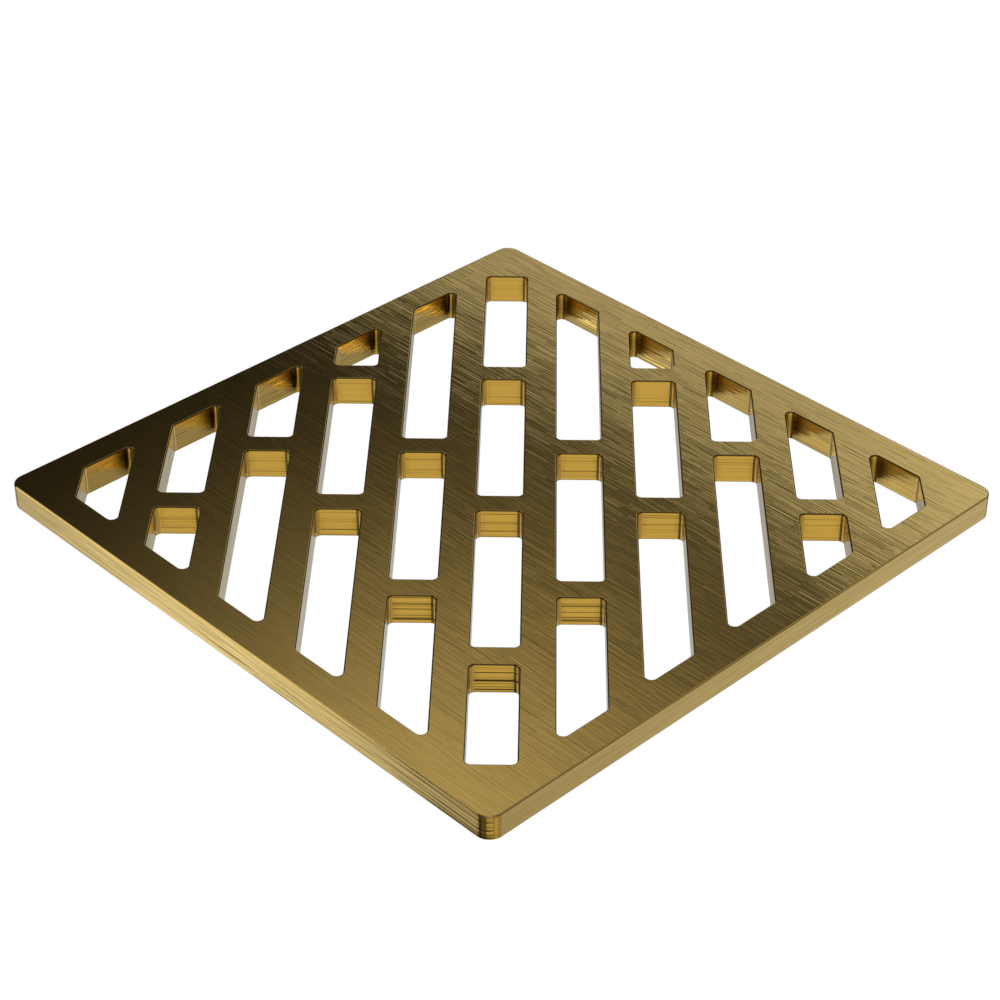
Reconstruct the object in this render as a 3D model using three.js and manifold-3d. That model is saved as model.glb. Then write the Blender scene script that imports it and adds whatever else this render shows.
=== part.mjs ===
// Square floor drain grate: a solid brass plate, pierced by bridged slots that run along its
// diagonal. A shallow step round the underside leaves a thinner lip at the edge. The plate
// stands on four push-in rubber bumpers under its corners.
// Millimetres, +Z up, sides along X and Y. The origin is on the plane that the bumpers stand
// on, below the middle of the plate.

import * as THREE from 'three';
import { mergeVertices } from 'three/addons/utils/BufferGeometryUtils.js';
import Module from 'manifold-3d';

// Plate
const plateSide = 95.25;
const plateThickness = 4.5;
const plateCornerRadius = 2.1;
const edgeBreak = 0.3;              // bevel along the top edges and the slots' bottom edges
const lipThickness = 3.6;
const lipWidth = 2.3;
const stepCornerRadius = 1;
const roundingSegments = 2;         // three.js doubles this on an arc: four segments a corner

// Slots, in columns that run along the diagonal; column 0 is on the diagonal itself
const slotWidth = 6.25;
const barWidth = 4.6;
const rimWidth = barWidth;
const slotPitch = slotWidth + barWidth;
const slotCornerRadius = 0.8;
const outermostColumn = 5;
const middleEndInset = 0.5;         // how far the middle column stops short of the rim

// Bridges, which cut each column into slots
const bridgeWidth = 3.6;
const bridgePeriod = 33;
const evenBridgeCentre = -3.85;     // along the diagonal, from the middle of the plate
const oddBridgeCentre = 10.05;
const shortestSlot = 4;             // a bridge that would leave less than this is left out

// Bumpers
const bumperInset = rimWidth;       // from both sides of the plate to the bumper's axis
const headRadius = 1.8;
const headHeight = 0.7;
const headEdgeBreak = 0.2;
const stemRadius = 1;
const stemLength = 2.2;
const stemTipBreak = 0.3;
const seatGap = 0.05;               // between the head and the plate's underside
const holeClearance = 0.25;         // round the stem
const holeEndClearance = 0.3;       // past the end of the stem
const roundFacets = 24;
const cutterMargin = 1;             // how far a cutting body stands out of the plate

const halfSide = plateSide / 2;
const rimHalfDiagonal = (halfSide - rimWidth) * Math.SQRT2;
const plateBottom = headHeight + seatGap;
const bumperReach = halfSide - bumperInset;
const bumperCorners = {
  front: [-bumperReach, -bumperReach],
  right: [bumperReach, -bumperReach],
  rear: [bumperReach, bumperReach],
  left: [-bumperReach, bumperReach],
};

const wasm = await Module();
wasm.setup();

const brass = new THREE.MeshStandardMaterial({ color: 0x8a7444, metalness: 1, roughness: 0.35 });
const rubber = new THREE.MeshStandardMaterial({ color: 0x1b1b1c, metalness: 0, roughness: 0.8 });

// ---- solids ----

function toManifold(geometry) {
  const merged = geometry.clone();
  merged.deleteAttribute('normal');
  merged.deleteAttribute('uv');
  const closed = mergeVertices(merged, 1e-4);
  return new wasm.Manifold(new wasm.Mesh({
    numProp: 3,
    vertProperties: new Float32Array(closed.attributes.position.array),
    triVerts: new Uint32Array(closed.index.array),
  }));
}

function toGeometry(solid) {
  const mesh = solid.getMesh();
  const geometry = new THREE.BufferGeometry();
  geometry.setAttribute('position', new THREE.BufferAttribute(mesh.vertProperties, 3));
  geometry.setIndex(new THREE.BufferAttribute(mesh.triVerts, 1));
  geometry.computeVertexNormals();
  return geometry;
}

// ---- outlines ----

// Draws a convex outline, given anticlockwise, with every corner rounded to one radius.
function roundedOutline(outline, corners, radius) {
  corners.forEach((corner, i) => {
    const before = corners[(i + corners.length - 1) % corners.length];
    const after = corners[(i + 1) % corners.length];
    const inward = corner.clone().sub(before).normalize();
    const outward = after.clone().sub(corner).normalize();
    const turn = Math.acos(inward.dot(outward));
    const middle = outward.clone().sub(inward).normalize();
    const centre = corner.clone().addScaledVector(middle, radius / Math.cos(turn / 2));
    const start = Math.atan2(inward.y, inward.x) - Math.PI / 2;
    outline.absarc(centre.x, centre.y, radius, start, start + turn, false);
  });
  outline.closePath();
  return outline;
}

function roundedSquare(outline, half, radius) {
  const corners = [[-1, -1], [1, -1], [1, 1], [-1, 1]].map(
    ([x, y]) => new THREE.Vector2(x * half, y * half),
  );
  return roundedOutline(outline, corners, radius);
}

// Where each slot of a column starts and ends along the diagonal: at a bridge, or at the rim,
// which is written as an infinite distance.
function columnSpans(column) {
  const outerWall = Math.abs(column) * slotPitch + slotWidth / 2;
  const reach = rimHalfDiagonal - outerWall - shortestSlot - bridgeWidth / 2;
  const phase = column % 2 === 0 ? evenBridgeCentre : oddBridgeCentre;
  const spans = [];
  let start = -Infinity;
  const first = Math.ceil((-reach - phase) / bridgePeriod);
  for (let centre = phase + first * bridgePeriod; centre <= reach; centre += bridgePeriod) {
    spans.push([start, centre - bridgeWidth / 2]);
    start = centre + bridgeWidth / 2;
  }
  spans.push([start, Infinity]);
  return spans;
}

// One slot: two walls along the diagonal, its ends square at a bridge and parallel to the
// plate's side at the rim.
function slotOutline(column, [start, end]) {
  const lowWall = column * slotPitch - slotWidth / 2;
  const highWall = column * slotPitch + slotWidth / 2;
  const endInset = column === 0 ? middleEndInset : 0;
  const corner = (across, along) => {
    const rimEnd = rimHalfDiagonal - Math.abs(across) - endInset;
    const clipped = THREE.MathUtils.clamp(along, -rimEnd, rimEnd);
    return new THREE.Vector2(across, clipped).rotateAround(new THREE.Vector2(), -Math.PI / 4);
  };
  const corners = [
    corner(lowWall, start),
    corner(highWall, start),
    corner(highWall, end),
    corner(lowWall, end),
  ];
  return roundedOutline(new THREE.Path(), corners, slotCornerRadius);
}

// ---- sub-parts ----

// The full-thickness plate with its slots, before the step and the bumpers' holes are cut.
function slottedSlab() {
  const shape = roundedSquare(new THREE.Shape(), halfSide, plateCornerRadius);
  for (let column = -outermostColumn; column <= outermostColumn; column += 1) {
    for (const span of columnSpans(column)) shape.holes.push(slotOutline(column, span));
  }
  const slab = new THREE.ExtrudeGeometry(shape, {
    depth: plateThickness - 2 * edgeBreak,
    curveSegments: roundingSegments,
    bevelThickness: edgeBreak,
    bevelSize: edgeBreak,
    bevelOffset: -edgeBreak,
    bevelSegments: 1,
  });
  slab.translate(0, 0, edgeBreak);
  return slab;
}

// The square ring that is cut away from under the lip.
function stepCutter() {
  const ring = roundedSquare(new THREE.Shape(), halfSide + cutterMargin, plateCornerRadius);
  ring.holes.push(roundedSquare(new THREE.Path(), halfSide - lipWidth, stepCornerRadius));
  const stepDepth = plateThickness - lipThickness;
  const cutter = new THREE.ExtrudeGeometry(ring, {
    depth: stepDepth + cutterMargin,
    curveSegments: roundingSegments,
    bevelEnabled: false,
  });
  cutter.translate(0, 0, -cutterMargin);
  return cutter;
}

// A blind hole in the underside for one bumper's stem.
function stemHoleCutter([x, y]) {
  const radius = stemRadius + holeClearance;
  const depth = stemLength - seatGap + holeEndClearance;
  const cutter = new THREE.CylinderGeometry(radius, radius, depth + cutterMargin, roundFacets);
  cutter.rotateX(Math.PI / 2);
  cutter.translate(x, y, (depth - cutterMargin) / 2);
  return cutter;
}

function gratePlate() {
  let plate = toManifold(slottedSlab()).subtract(toManifold(stepCutter()));
  for (const corner of Object.values(bumperCorners)) {
    plate = plate.subtract(toManifold(stemHoleCutter(corner)));
  }
  const mesh = new THREE.Mesh(toGeometry(plate), brass);
  mesh.name = 'grate_plate';
  mesh.position.z = plateBottom;
  return mesh;
}

// A mushroom-shaped push-in bumper: a flat head to stand on and a stem that points up.
function bumperGeometry() {
  const top = headHeight + stemLength;
  const profile = [
    [0, 0],
    [headRadius - headEdgeBreak, 0],
    [headRadius, headEdgeBreak],
    [headRadius, headHeight],
    [stemRadius, headHeight],
    [stemRadius, top - stemTipBreak],
    [stemRadius - stemTipBreak, top],
    [0, top],
  ];
  const points = profile.map(([radius, height]) => new THREE.Vector2(radius, height));
  const geometry = new THREE.LatheGeometry(points, roundFacets);
  geometry.rotateX(Math.PI / 2);
  return geometry;
}

function bumper(cornerName) {
  const mesh = new THREE.Mesh(bumperGeometry(), rubber);
  const [x, y] = bumperCorners[cornerName];
  mesh.name = `bumper_${cornerName}`;
  mesh.position.set(x, y, 0);
  return mesh;
}

const grate = new THREE.Group();
grate.add(gratePlate());
for (const cornerName of Object.keys(bumperCorners)) grate.add(bumper(cornerName));

export default grate;
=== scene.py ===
# Looks for the square floor drain grate: a brushed brass plate with bridged diagonal slots, on
# four rubber bumpers. Sizes are in metres; the CAD frame gives the plate's and bumpers' places.
import math

import bmesh
import bpy
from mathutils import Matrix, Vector
from mathutils.geometry import tessellate_polygon


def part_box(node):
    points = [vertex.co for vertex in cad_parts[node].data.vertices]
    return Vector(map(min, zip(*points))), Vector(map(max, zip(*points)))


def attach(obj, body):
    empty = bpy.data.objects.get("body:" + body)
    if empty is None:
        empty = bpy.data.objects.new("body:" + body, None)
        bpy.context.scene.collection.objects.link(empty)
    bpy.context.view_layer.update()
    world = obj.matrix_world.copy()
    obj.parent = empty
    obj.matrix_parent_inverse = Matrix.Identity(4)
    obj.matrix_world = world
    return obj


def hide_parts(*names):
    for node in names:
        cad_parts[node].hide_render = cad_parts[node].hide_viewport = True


MM = 0.001

# ---- slot pattern, as in the CAD ----
SLOT_WIDTH = 6.25 * MM
BAR_WIDTH = 4.6 * MM
RIM_WIDTH = BAR_WIDTH
SLOT_PITCH = SLOT_WIDTH + BAR_WIDTH
SLOT_CORNER_RADIUS = 0.8 * MM
OUTERMOST_COLUMN = 5
MIDDLE_END_INSET = 0.5 * MM
BRIDGE_WIDTH = 3.6 * MM
BRIDGE_PERIOD = 33 * MM
EVEN_BRIDGE_CENTRE = -3.85 * MM
ODD_BRIDGE_CENTRE = 10.05 * MM
SHORTEST_SLOT = 4 * MM

# ---- plate edges ----
PLATE_CORNER_RADIUS = 2.1 * MM
TOP_ROUNDING = 0.2 * MM
BOTTOM_ROUNDING = 0.15 * MM
LIP_THICKNESS = 3.6 * MM
LIP_WIDTH = 2.3 * MM
STEP_CORNER_RADIUS = 1.0 * MM
STEP_FILLET = 0.3 * MM
CORNER_SEGMENTS = 12
ROUNDING_SEGMENTS = 5
UPRIGHT = math.pi / 2            # tilt of a normal that points straight up

# ---- bumpers ----
HEAD_RADIUS = 1.8 * MM
HEAD_HEIGHT = 0.7 * MM
FOOT_ROUNDING = 0.3 * MM
SHOULDER_ROUNDING = 0.1 * MM
STEM_RADIUS = 1.0 * MM
STEM_LENGTH = 2.2 * MM
STEM_TIP_ROUNDING = 0.4 * MM
HOLE_CLEARANCE = 0.25 * MM
HOLE_END_CLEARANCE = 0.3 * MM
ROUND_SEGMENTS = 48
PROFILE_SEGMENTS = 6            # in each rounded corner of the profile
SHARP_ANGLE = 40                # degrees; a steeper fold stays a sharp edge

# ---- camera ----
CAMERA_HEADING = 46.09        # degrees from +X, the way it looks
CAMERA_PITCH = 35.02          # degrees below the horizon
CAMERA_DISTANCE = 3.5423      # in plate sides, from the point it aims at
CAMERA_AIM = (-0.0231, -0.0239)   # in plate sides, from the middle of the top face
CAMERA_LENS = 89.76
CAMERA_SENSOR = 36.0
CAMERA_CLIP = (0.01, 10.0)

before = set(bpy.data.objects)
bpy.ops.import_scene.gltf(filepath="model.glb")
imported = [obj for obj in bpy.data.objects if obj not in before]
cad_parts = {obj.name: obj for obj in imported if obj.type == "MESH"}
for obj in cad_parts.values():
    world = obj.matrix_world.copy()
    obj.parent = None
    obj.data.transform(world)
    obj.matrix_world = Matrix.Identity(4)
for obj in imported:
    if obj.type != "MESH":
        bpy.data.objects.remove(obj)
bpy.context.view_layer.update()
PLATE_LOW, PLATE_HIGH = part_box("grate_plate")
PLATE_SIDE = PLATE_HIGH.x - PLATE_LOW.x
HALF_SIDE = PLATE_SIDE / 2
TOP = PLATE_HIGH.z
BOTTOM = PLATE_LOW.z
RIM_HALF_DIAGONAL = (HALF_SIDE - RIM_WIDTH) * math.sqrt(2)
BUMPER_CORNERS = {}
for corner_name in ("front", "right", "rear", "left"):
    low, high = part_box("bumper_" + corner_name)
    BUMPER_CORNERS[corner_name] = ((low.x + high.x) / 2, (low.y + high.y) / 2)


# ================= outlines =================

class Outline:
    """A closed convex outline with round corners, which can be drawn at any offset.

    A positive offset moves the line into the metal: inwards on the plate's own outline and
    outwards on a slot's."""

    def __init__(self, corners, radius, metal_inside):
        self.radius = radius
        self.sign = -1 if metal_inside else 1
        self.arcs = []
        for i, corner in enumerate(corners):
            inward = (corner - corners[i - 1]).normalized()
            outward = (corners[(i + 1) % len(corners)] - corner).normalized()
            turn = inward.angle(outward)
            middle = (outward - inward).normalized()
            centre = corner + middle * (radius / math.cos(turn / 2))
            start = math.atan2(inward.y, inward.x) - math.pi / 2
            self.arcs.append((centre, start, turn))

    def ring(self, offset=0.0):
        """Points of the outline at an offset, each with the direction that faces the air."""
        points = []
        for centre, start, turn in self.arcs:
            for step in range(CORNER_SEGMENTS + 1):
                angle = start + turn * step / CORNER_SEGMENTS
                away = Vector((math.cos(angle), math.sin(angle)))
                point = centre + away * (self.radius + self.sign * offset)
                points.append((point, away * -self.sign))
        return points


class Circle:
    """The outline of a round hole, with the same ring() as Outline."""

    def __init__(self, centre, radius):
        self.centre = centre
        self.radius = radius

    def ring(self, offset=0.0):
        points = []
        for step in range(ROUND_SEGMENTS):
            angle = 2 * math.pi * step / ROUND_SEGMENTS
            away = Vector((math.cos(angle), math.sin(angle)))
            points.append((self.centre + away * (self.radius + offset), -away))
        return points


def square_outline(half, radius):
    corners = [Vector((x * half, y * half)) for x, y in ((-1, -1), (1, -1), (1, 1), (-1, 1))]
    return Outline(corners, radius, metal_inside=True)


def column_spans(column):
    """Where each slot of a column starts and ends along the diagonal; the rim is infinity."""
    outer_wall = abs(column) * SLOT_PITCH + SLOT_WIDTH / 2
    reach = RIM_HALF_DIAGONAL - outer_wall - SHORTEST_SLOT - BRIDGE_WIDTH / 2
    phase = ODD_BRIDGE_CENTRE if column % 2 else EVEN_BRIDGE_CENTRE
    centre = phase + math.ceil((-reach - phase) / BRIDGE_PERIOD) * BRIDGE_PERIOD
    start = -math.inf
    spans = []
    while centre <= reach:
        spans.append((start, centre - BRIDGE_WIDTH / 2))
        start = centre + BRIDGE_WIDTH / 2
        centre += BRIDGE_PERIOD
    spans.append((start, math.inf))
    return spans


def slot_outline(column, span):
    end_inset = 0.0 if column else MIDDLE_END_INSET
    low_wall = column * SLOT_PITCH - SLOT_WIDTH / 2
    high_wall = low_wall + SLOT_WIDTH

    def corner(across, along):
        rim_end = RIM_HALF_DIAGONAL - abs(across) - end_inset
        along = max(-rim_end, min(rim_end, along))
        return Vector((across + along, along - across)) / math.sqrt(2)

    start, end = span
    corners = [corner(low_wall, start), corner(high_wall, start),
               corner(high_wall, end), corner(low_wall, end)]
    return Outline(corners, SLOT_CORNER_RADIUS, metal_inside=False)


def slot_outlines():
    return [slot_outline(column, span)
            for column in range(-OUTERMOST_COLUMN, OUTERMOST_COLUMN + 1)
            for span in column_spans(column)]


# ================= plate mesh =================

class Builder:
    """Gathers rings of points, each with its exact normal, and the faces between them."""

    def __init__(self):
        self.points = []
        self.normals = []
        self.faces = []

    def add_ring(self, outline, offset, height, tilt):
        """Adds one ring. tilt is the normal's angle above the horizontal."""
        first = len(self.points)
        for point, air in outline.ring(offset):
            self.points.append((point.x, point.y, height))
            flat = air * math.cos(tilt)
            self.normals.append((flat.x, flat.y, math.sin(tilt)))
        return list(range(first, len(self.points)))

    def join(self, upper, lower, metal_inside):
        count = len(upper)
        for i in range(count):
            j = (i + 1) % count
            quad = [lower[i], lower[j], upper[j], upper[i]]
            self.faces.append(quad if metal_inside else quad[::-1])

    def join_all(self, rings, metal_inside):
        for upper, lower in zip(rings, rings[1:]):
            self.join(upper, lower, metal_inside)

    def cap(self, outer, holes, up):
        """Fills the flat face between one outer ring and the rings of its holes."""
        loops = [outer] + holes
        flat = [[Vector((*self.points[i][:2], 0)) for i in loop] for loop in loops]
        indices = [i for loop in loops for i in loop]
        for triangle in tessellate_polygon(flat):
            corners = [indices[i] for i in triangle]
            a, b, c = (Vector(self.points[i][:2]) for i in corners)
            facing_up = (b - a).cross(c - a) > 0
            self.faces.append(corners if facing_up == up else corners[::-1])


def rounded_edge(builder, outline, height, radius, tilt_from, tilt_to):
    """Rings of a rounded convex edge between two tilts, ending flush at height."""
    rings = []
    for step in range(ROUNDING_SEGMENTS + 1):
        tilt = tilt_from + (tilt_to - tilt_from) * step / ROUNDING_SEGMENTS
        inset = radius * (1 - math.cos(tilt))
        up = math.copysign(radius * (1 - abs(math.sin(tilt))), tilt_from + tilt_to)
        rings.append(builder.add_ring(outline, inset, height - up, tilt))
    return rings


def plate_mesh():
    builder = Builder()

    def top_edge(outline):
        return rounded_edge(builder, outline, TOP, TOP_ROUNDING, UPRIGHT, 0)

    def bottom_edge(outline, height):
        return rounded_edge(builder, outline, height, BOTTOM_ROUNDING, 0, -UPRIGHT)

    outside = square_outline(HALF_SIDE, PLATE_CORNER_RADIUS)
    step = square_outline(HALF_SIDE - LIP_WIDTH, STEP_CORNER_RADIUS)
    lip_bottom = TOP - LIP_THICKNESS
    fillet = []
    for k in range(ROUNDING_SEGMENTS + 1):
        turn = UPRIGHT * k / ROUNDING_SEGMENTS
        offset = -STEP_FILLET * (1 - math.sin(turn))
        height = lip_bottom - STEP_FILLET * (1 - math.cos(turn))
        fillet.append(builder.add_ring(step, offset, height, turn - UPRIGHT))
    outer_rings = (top_edge(outside) + bottom_edge(outside, lip_bottom) + fillet
                   + bottom_edge(step, BOTTOM))
    builder.join_all(outer_rings, metal_inside=True)

    slot_tops = []
    slot_bottoms = []
    for outline in slot_outlines():
        rings = top_edge(outline) + bottom_edge(outline, BOTTOM)
        builder.join_all(rings, metal_inside=False)
        slot_tops.append(rings[0])
        slot_bottoms.append(rings[-1])

    hole_bottoms = []
    hole_end = HEAD_HEIGHT + STEM_LENGTH + HOLE_END_CLEARANCE
    for x, y in BUMPER_CORNERS.values():
        hole = Circle(Vector((x, y)), STEM_RADIUS + HOLE_CLEARANCE)
        wall = [builder.add_ring(hole, 0, hole_end, 0), builder.add_ring(hole, 0, BOTTOM, 0)]
        builder.join_all(wall, metal_inside=False)
        end = builder.add_ring(hole, 0, hole_end, -UPRIGHT)
        builder.faces.append(end[::-1])
        hole_bottoms.append(builder.add_ring(hole, 0, BOTTOM, -UPRIGHT))
    builder.cap(outer_rings[0], slot_tops, up=True)
    builder.cap(outer_rings[-1], slot_bottoms + hole_bottoms, up=False)

    mesh = bpy.data.meshes.new("brushed_plate")
    mesh.from_pydata(builder.points, [], builder.faces)
    mesh.validate()
    mesh.shade_smooth()
    mesh.normals_split_custom_set_from_vertices(builder.normals)
    return mesh


# ================= bumper mesh =================

def arc(centre, radius, start, end):
    """Points of a round corner in a profile of (distance from the axis, height), between two
    directions in degrees."""
    turns = [start + (end - start) * k / PROFILE_SEGMENTS for k in range(PROFILE_SEGMENTS + 1)]
    return [(centre[0] + radius * math.cos(math.radians(t)),
             centre[1] + radius * math.sin(math.radians(t))) for t in turns]


def bumper_mesh(name, x, y):
    """A moulded push-in bumper: a flat foot with a rounded rim, and a stem that points up."""
    top = HEAD_HEIGHT + STEM_LENGTH
    foot = (HEAD_RADIUS - FOOT_ROUNDING, FOOT_ROUNDING)
    shoulder = (HEAD_RADIUS - SHOULDER_ROUNDING, HEAD_HEIGHT - SHOULDER_ROUNDING)
    root = (STEM_RADIUS + SHOULDER_ROUNDING, HEAD_HEIGHT + SHOULDER_ROUNDING)
    tip = (STEM_RADIUS - STEM_TIP_ROUNDING, top - STEM_TIP_ROUNDING)
    profile = (arc(foot, FOOT_ROUNDING, -90, 0) + arc(shoulder, SHOULDER_ROUNDING, 0, 90)
               + arc(root, SHOULDER_ROUNDING, 270, 180) + arc(tip, STEM_TIP_ROUNDING, 0, 90))

    shape = bmesh.new()
    turns = [2 * math.pi * k / ROUND_SEGMENTS for k in range(ROUND_SEGMENTS)]
    rings = [[shape.verts.new((x + distance * math.cos(turn), y + distance * math.sin(turn),
                               height)) for turn in turns]
             for distance, height in profile]
    for lower, upper in zip(rings, rings[1:]):
        for k in range(ROUND_SEGMENTS):
            following = (k + 1) % ROUND_SEGMENTS
            shape.faces.new((lower[k], lower[following], upper[following], upper[k]))
    shape.faces.new(rings[0][::-1])
    shape.faces.new(rings[-1])
    mesh = bpy.data.meshes.new(name)
    shape.to_mesh(mesh)
    shape.free()
    mesh.shade_smooth()
    mesh.set_sharp_from_angle(angle=math.radians(SHARP_ANGLE))
    return mesh


# ================= materials =================

GOLD = (0.78, 0.57, 0.20)
ANISOTROPY = 0.2

# Brushed lines: how wide and long they are, and how far they tilt the surface.
TOP_LINES = ((0.18 * MM, 4.1 * MM, 0.036), (0.39 * MM, 7.3 * MM, 0.011))
SIDE_LINES = ((0.14 * MM, 14 * MM, 0.42), (0.30 * MM, 20 * MM, 0.18))
SIDE_RUN = Vector((1.0, 0.8, 0.0))   # grows along every side and along the slots' walls
MEAN_LEVEL = 0.5                     # of a pattern of lines, which runs from 0 to 1
FIRST_SEED = 1.3
SEED_STEP = 3.7

# Strokes of the brush drift sideways: how many waves of the drift there are in a stroke's width
# and in its length, and how many strokes it reaches over. A row's strokes start anywhere within
# STAGGER lengths.
WANDER_ACROSS = 0.11
WANDER_ALONG = 0.2
WANDER_REACH = 5
STAGGER = 7

# Upward part of the normal where a wall turns into a flat face, and where a rounded edge starts
# above a wall and ends at the top face.
FLAT_UP = (0.25, 0.6)
ROUNDED_UP_FROM_WALL = (0.15, 0.45)
ROUNDED_UP_TO_TOP = (0.99, 0.85)

# Tone and roughness of the brass over a range of the lines' slope.
SLOPE_RANGE = (-0.04, 0.04)
SHADE_RANGE = (0.985, 1.015)
ROUGHNESS_RANGE = (0.075, 0.065)

# Painted shade: how far in from the plate's sides the painted dark edge lines start, how deep a
# wall's corner is, how open it is where the painted corner shade starts and is full, and how
# much light the painted dark metal takes.
RIM_TO_PAINTED_EDGE_SHADE = 1.5 * MM
CORNER_DEPTH = 4 * MM
CORNER_OPENNESS = (0.75, 0.35)
CORNER_SAMPLES = 8
PAINTED_EDGE_SHADE = 0.85
PAINTED_CORNER_SHADE = 0.85

RUBBER_BLACK = (0.018, 0.018, 0.019, 1.0)
RUBBER_GREY = (0.045, 0.045, 0.046, 1.0)
RUBBER_ROUGHNESS_RANGE = (0.55, 0.8)
RUBBER_BLOOM_SCALE = 700.0           # patches in a metre
RUBBER_GRAIN_SCALE = 9000.0
RUBBER_GRAIN_STRENGTH = 0.4
RUBBER_GRAIN_DEPTH = 0.03 * MM


def new_material(name):
    material = bpy.data.materials.new(name)
    material.use_nodes = True
    tree = material.node_tree
    tree.nodes.clear()
    return material, tree


def node(tree, kind, inputs=None, **settings):
    made = tree.nodes.new(kind)
    for key, value in settings.items():
        setattr(made, key, value)
    for key, value in (inputs or {}).items():
        if isinstance(value, bpy.types.NodeSocket):
            tree.links.new(value, made.inputs[key])
        else:
            made.inputs[key].default_value = value
    return made


def math_node(tree, operation, *values):
    return node(tree, "ShaderNodeMath", dict(enumerate(values)), operation=operation).outputs[0]


def vector_node(tree, operation, *values):
    made = node(tree, "ShaderNodeVectorMath", dict(enumerate(values)), operation=operation)
    return made.outputs["Value" if operation == "DOT_PRODUCT" else "Vector"]


def mix_node(tree, kind, factor, a, b):
    made = node(tree, "ShaderNodeMix", {"Factor": factor, "A": a, "B": b}, data_type=kind)
    return next(socket for socket in made.outputs if socket.enabled)


def map_range(tree, value, from_range, to_range=(0.0, 1.0), interpolation="LINEAR"):
    made = node(tree, "ShaderNodeMapRange",
                {"Value": value, "From Min": from_range[0], "From Max": from_range[1],
                 "To Min": to_range[0], "To Max": to_range[1]},
                interpolation_type=interpolation)
    return made.outputs["Result"]


def smooth_step(tree, value, from_range, to_range=(0.0, 1.0)):
    return map_range(tree, value, from_range, to_range, "SMOOTHSTEP")


def scaled_vector(tree, vector, scale):
    made = node(tree, "ShaderNodeVectorMath", {0: vector, "Scale": scale}, operation="SCALE")
    return made.outputs["Vector"]


def noise_node(tree, place, scale, detail):
    made = node(tree, "ShaderNodeTexNoise", {"Vector": place, "Scale": scale, "Detail": detail})
    return made.outputs["Fac"]


def white_noise(tree, dimensions, **inputs):
    made = node(tree, "ShaderNodeTexWhiteNoise", inputs, noise_dimensions=dimensions)
    return made.outputs["Value"]


def lines(tree, coordinates, across, along, seed):
    """Noise drawn out into long lines. across and along are the vectors, in lines per metre,
    that turn a place into the noise's own coordinates."""
    u = vector_node(tree, "DOT_PRODUCT", coordinates, across)
    v = vector_node(tree, "DOT_PRODUCT", coordinates, along)
    place = node(tree, "ShaderNodeCombineXYZ", {"X": u, "Y": v, "Z": seed}).outputs[0]
    return noise_node(tree, place, 1.0, 1.0)


def strokes(tree, coordinates, across, along, seed):
    """Straight strokes side by side, every other one raised, each at a level of its own from
    0 to 1."""
    def cell(axis, shift, reach):
        """The number of the stroke along one axis, with the axis shifted by up to reach."""
        place = vector_node(tree, "DOT_PRODUCT", coordinates, axis)
        place = math_node(tree, "ADD", place, math_node(tree, "MULTIPLY", shift, reach))
        return math_node(tree, "FLOOR", place)

    wander = lines(tree, coordinates, across * WANDER_ACROSS, along * WANDER_ALONG, seed)
    u = cell(across, wander, WANDER_REACH)
    start = white_noise(tree, "1D", W=math_node(tree, "ADD", u, seed))
    v = cell(along, start, STAGGER)
    place = node(tree, "ShaderNodeCombineXYZ", {"X": u, "Y": v, "Z": seed}).outputs[0]
    level = white_noise(tree, "3D", Vector=place)
    raised = math_node(tree, "PINGPONG", u, 1)
    return math_node(tree, "MULTIPLY", math_node(tree, "ADD", level, raised), 0.5)


def grain_slope(tree, coordinates, pattern, layers, across, along):
    """The tilt of the surface from all the layers of brushed lines together."""
    slope = 0.0
    for seed, (width, length, tilt) in enumerate(layers):
        level = pattern(tree, coordinates, across / width, along / length,
                        SEED_STEP * seed + FIRST_SEED)
        bump = math_node(tree, "MULTIPLY", math_node(tree, "SUBTRACT", level, MEAN_LEVEL), tilt)
        slope = math_node(tree, "ADD", slope, bump)
    return slope


def painted_edge_and_corner_shade(tree, place, rounded):
    """How much darker the colour is painted: painted shade along the slots' rounded upper edges,
    which stands in for their dark reflections, and painted shade deep in the sharp corners of
    their walls."""
    sides = node(tree, "ShaderNodeSeparateXYZ",
                 {"Vector": vector_node(tree, "ABSOLUTE", place)}).outputs
    reach = math_node(tree, "MAXIMUM", sides["X"], sides["Y"])
    inner = math_node(tree, "LESS_THAN", reach, HALF_SIDE - RIM_TO_PAINTED_EDGE_SHADE)
    # painted dark lines on the slots' rounded upper edges, standing in for their dark
    # reflections
    edge = math_node(tree, "MULTIPLY", math_node(tree, "MULTIPLY", rounded, inner), PAINTED_EDGE_SHADE)
    # painted shade in the walls' corners, darker where they are more closed in
    open_space = node(tree, "ShaderNodeAmbientOcclusion", {"Distance": CORNER_DEPTH},
                      samples=CORNER_SAMPLES, only_local=True).outputs["AO"]
    corner = math_node(tree, "MULTIPLY", smooth_step(tree, open_space, CORNER_OPENNESS),
                       PAINTED_CORNER_SHADE)
    return math_node(tree, "MAXIMUM", edge, corner)


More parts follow.
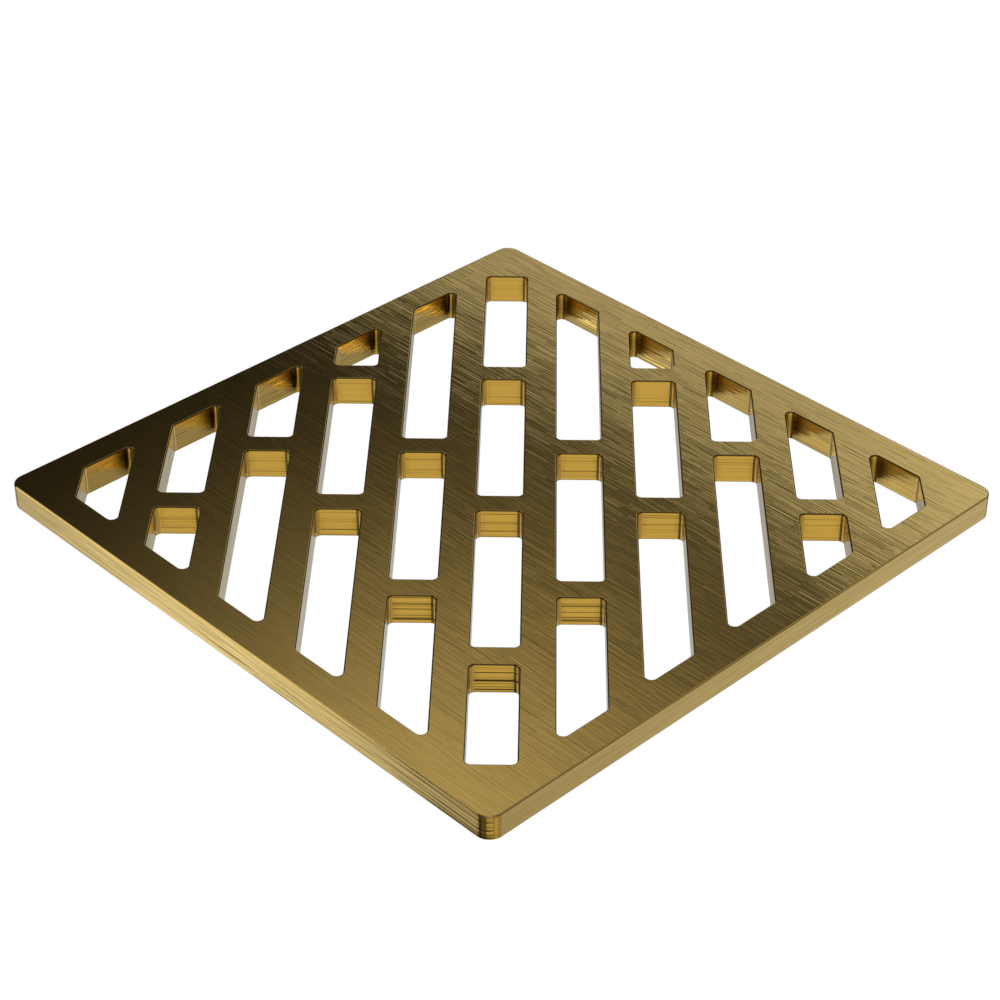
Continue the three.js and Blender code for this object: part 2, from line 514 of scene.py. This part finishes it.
def brushed_brass():
    material, tree = new_material("brushed_brass")
    place = node(tree, "ShaderNodeTexCoord").outputs["Object"]
    normal = node(tree, "ShaderNodeNewGeometry").outputs["Normal"]
    up = vector_node(tree, "DOT_PRODUCT", normal, (0, 0, 1))
    flatness = smooth_step(tree, math_node(tree, "ABSOLUTE", up), FLAT_UP)

    # Brushing: along Y on the flat faces, level round the sides and the slots' walls.
    x, y, z = Vector((1, 0, 0)), Vector((0, 1, 0)), Vector((0, 0, 1))
    top_slope = grain_slope(tree, place, strokes, TOP_LINES, x, y)
    side_slope = grain_slope(tree, place, lines, SIDE_LINES, z, SIDE_RUN)
    slope = mix_node(tree, "FLOAT", flatness, side_slope, top_slope)
    across = mix_node(tree, "VECTOR", flatness, z, x)

    # The rounded upper edges are smooth.
    rounded = math_node(tree, "MULTIPLY", smooth_step(tree, up, ROUNDED_UP_FROM_WALL),
                        smooth_step(tree, up, ROUNDED_UP_TO_TOP))
    slope = math_node(tree, "MULTIPLY", slope, math_node(tree, "SUBTRACT", 1.0, rounded))
    bent = vector_node(tree, "ADD", normal, scaled_vector(tree, across, slope))
    bent = vector_node(tree, "NORMALIZE", bent)

    shade = map_range(tree, slope, SLOPE_RANGE, SHADE_RANGE)
    # the painted shade on the slots' edges and in their corners darkens the brass colour
    unshaded = math_node(tree, "SUBTRACT", 1.0, painted_edge_and_corner_shade(tree, place, rounded))
    tone = scaled_vector(tree, GOLD, math_node(tree, "MULTIPLY", shade, unshaded))
    roughness = map_range(tree, slope, SLOPE_RANGE, ROUGHNESS_RANGE)
    surface = node(tree, "ShaderNodeBsdfPrincipled", {
        "Base Color": tone, "Metallic": 1.0, "Roughness": roughness,
        "Anisotropic": ANISOTROPY, "Normal": bent, "Tangent": across})
    node(tree, "ShaderNodeOutputMaterial", {"Surface": surface.outputs[0]})
    return material


def bumper_rubber():
    material, tree = new_material("bumper_rubber")
    place = node(tree, "ShaderNodeTexCoord").outputs["Object"]
    grain = noise_node(tree, place, RUBBER_GRAIN_SCALE, 3.0)
    bloom = noise_node(tree, place, RUBBER_BLOOM_SCALE, 2.0)
    colour = mix_node(tree, "RGBA", bloom, RUBBER_BLACK, RUBBER_GREY)
    roughness = map_range(tree, bloom, (0.0, 1.0), RUBBER_ROUGHNESS_RANGE)
    bump = node(tree, "ShaderNodeBump", {
        "Height": grain, "Strength": RUBBER_GRAIN_STRENGTH, "Distance": RUBBER_GRAIN_DEPTH})
    surface = node(tree, "ShaderNodeBsdfPrincipled", {
        "Base Color": colour, "Roughness": roughness, "Normal": bump.outputs[0]})
    node(tree, "ShaderNodeOutputMaterial", {"Surface": surface.outputs[0]})
    return material


# ================= pieces =================

def add_object(name, mesh, material):
    piece = bpy.data.objects.new(name, mesh)
    mesh.materials.append(material)
    bpy.context.scene.collection.objects.link(piece)
    return piece


plate = add_object("brushed_plate", plate_mesh(), brushed_brass())
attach(plate, "root")
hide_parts("grate_plate")

rubber = bumper_rubber()
for corner_name, (corner_x, corner_y) in BUMPER_CORNERS.items():
    piece_name = "bumper_" + corner_name + "_moulded"
    bumper = add_object(piece_name, bumper_mesh(piece_name, corner_x, corner_y), rubber)
    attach(bumper, "root")
    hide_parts("bumper_" + corner_name)


# ================= stage, light and camera =================

FLOOR_REACH = 30      # in plate sides, from the middle of the floor to its edge
LEAST_DEPTH = 0.05    # a panel light shines only from in front of the middle of the room


def direction(heading, height):
    """A unit vector: heading in degrees from +X, height in degrees above the horizon."""
    a, e = math.radians(heading), math.radians(height)
    return Vector((math.cos(a) * math.cos(e), math.sin(a) * math.cos(e), math.sin(e)))


def floor():
    material, tree = new_material("white_floor")
    glow = node(tree, "ShaderNodeEmission", {"Color": (1, 1, 1, 1), "Strength": 1.0})
    clear = node(tree, "ShaderNodeBsdfTransparent")
    behind = node(tree, "ShaderNodeNewGeometry").outputs["Backfacing"]
    surface = node(tree, "ShaderNodeMixShader",
                   {0: behind, 1: glow.outputs[0], 2: clear.outputs[0]})
    node(tree, "ShaderNodeOutputMaterial", {"Surface": surface.outputs[0]})
    half = FLOOR_REACH * PLATE_SIDE
    mesh = bpy.data.meshes.new("floor")
    mesh.from_pydata([(-half, -half, 0), (half, -half, 0), (half, half, 0), (-half, half, 0)],
                     [], [(0, 1, 2, 3)])
    ground = add_object("floor", mesh, material)
    ground.visible_glossy = False
    ground.visible_diffuse = False
    ground.visible_shadow = False


WHITE = (1.0, 1.0, 1.0)
CREAM = (1.0, 0.92, 0.74)
GOLDEN = (1.0, 0.82, 0.36)

# Each panel light, a rectangle with soft edges: where its middle is (heading and height), its
# tilt, half its width and height, the softness of its edges (all in degrees), colour, strength.
PANEL_LIGHTS = {
    "rear panel": (41, 26, -27, 45, 6.5, 2.2, WHITE, 0.51),
    "left wall panel": (133, -11, 0, 10.2, 14, 1.2, CREAM, 1.7),
    "left floor panel": (130, -33, 0, 19, 11, 0.7, WHITE, 0.34),
    "front floor panel": (-133, -30, 0, 17, 13, 2.5, GOLDEN, 0.56),
}

# Each soft glow: where it is (heading and height), its spread in degrees, colour, strength.
GLOWS = {
    "high window": (48.5, 43.5, 6.5, CREAM, 0.54),
    "left window": (72, 44, 7, WHITE, 0.13),
    "right window": (32, 35, 3.5, WHITE, 0.2),
    "left rear wall": (101, 52, 12, WHITE, 1.1),
    "left rear corner": (82, 0, 16, WHITE, 0.3),
    "right rear wall": (-10, 48, 18, CREAM, 0.5),
    "left wall": (129, 24, 12, CREAM, 1.3),
    "left front wall, low": (150, -30, 9, GOLDEN, 0.45),
    "right wall": (-44, 10, 20, GOLDEN, 0.16),
    "right wall, low": (-60, -30, 12, GOLDEN, 0.1),
    "zenith": (46, 88, 12, WHITE, 0.7),
    "ceiling": (-136, 59, 14, GOLDEN, 0.4),
    "left floor": (126, -37.5, 5.5, WHITE, 0.75),
    "right floor": (-27, -39, 22, WHITE, 0.6),
    "front right floor": (-90, -38, 18, GOLDEN, 0.5),
    "front left floor": (186, -33, 13, GOLDEN, 0.15),
    "rear floor": (42, -40, 18, WHITE, 0.52),
    "left rear floor": (85, -32, 15, WHITE, 0.45),
    "room": (-120, 25, 50, CREAM, 0.32),
}


def glow_light(tree, look, heading, height, spread):
    """A light that fades evenly all round its middle."""
    nearness = vector_node(tree, "DOT_PRODUCT", look, direction(heading, height))
    falloff = math_node(tree, "DIVIDE", math_node(tree, "SUBTRACT", nearness, 1.0),
                        1 - math.cos(math.radians(spread)))
    return math_node(tree, "EXPONENT", falloff)


def panel_light(tree, look, heading, height, tilt, half_width, half_height, softness):
    """An even rectangle of light with soft edges."""
    middle = direction(heading, height)
    level = middle.cross(Vector((0, 0, 1))).normalized()
    upright = level.cross(middle)
    lean = math.radians(tilt)
    rise = upright * math.cos(lean) + level * math.sin(lean)
    run = rise.cross(middle)
    depth = vector_node(tree, "DOT_PRODUCT", look, middle)
    light = math_node(tree, "GREATER_THAN", depth, LEAST_DEPTH)
    for axis, half in ((run, half_width), (rise, half_height)):
        place = math_node(tree, "DIVIDE", vector_node(tree, "DOT_PRODUCT", look, axis), depth)
        fade = (math.tan(math.radians(half - softness)), math.tan(math.radians(half + softness)))
        edge = smooth_step(tree, math_node(tree, "ABSOLUTE", place), fade, (1.0, 0.0))
        light = math_node(tree, "MULTIPLY", light, edge)
    return light


def studio():
    world = bpy.data.worlds.new("studio")
    bpy.context.scene.world = world
    world.use_nodes = True
    tree = world.node_tree
    tree.nodes.clear()
    look = node(tree, "ShaderNodeTexCoord").outputs["Generated"]
    total = (0.0, 0.0, 0.0)
    for build, lights in ((panel_light, PANEL_LIGHTS), (glow_light, GLOWS)):
        for *shape, colour, strength in lights.values():
            glow = math_node(tree, "MULTIPLY", build(tree, look, *shape), strength)
            total = vector_node(tree, "ADD", total, scaled_vector(tree, colour, glow))
    room = node(tree, "ShaderNodeBackground", {"Color": total})
    backdrop = node(tree, "ShaderNodeBackground", {"Color": (1, 1, 1, 1)})
    seen = node(tree, "ShaderNodeLightPath").outputs["Is Camera Ray"]
    surface = node(tree, "ShaderNodeMixShader",
                   {0: seen, 1: room.outputs[0], 2: backdrop.outputs[0]})
    node(tree, "ShaderNodeOutputWorld", {"Surface": surface.outputs[0]})


def camera():
    data = bpy.data.cameras.new("camera")
    data.sensor_width = CAMERA_SENSOR
    data.lens = CAMERA_LENS
    data.clip_start, data.clip_end = CAMERA_CLIP
    eye = bpy.data.objects.new("camera", data)
    bpy.context.scene.collection.objects.link(eye)
    aim = Vector((CAMERA_AIM[0] * PLATE_SIDE, CAMERA_AIM[1] * PLATE_SIDE, TOP))
    look = direction(CAMERA_HEADING, -CAMERA_PITCH)
    eye.location = aim - look * (CAMERA_DISTANCE * PLATE_SIDE)
    eye.rotation_mode = "QUATERNION"
    eye.rotation_quaternion = look.to_track_quat("-Z", "Y")
    bpy.context.scene.camera = eye


floor()
studio()
camera()
bpy.context.scene.view_settings.view_transform = "Standard"
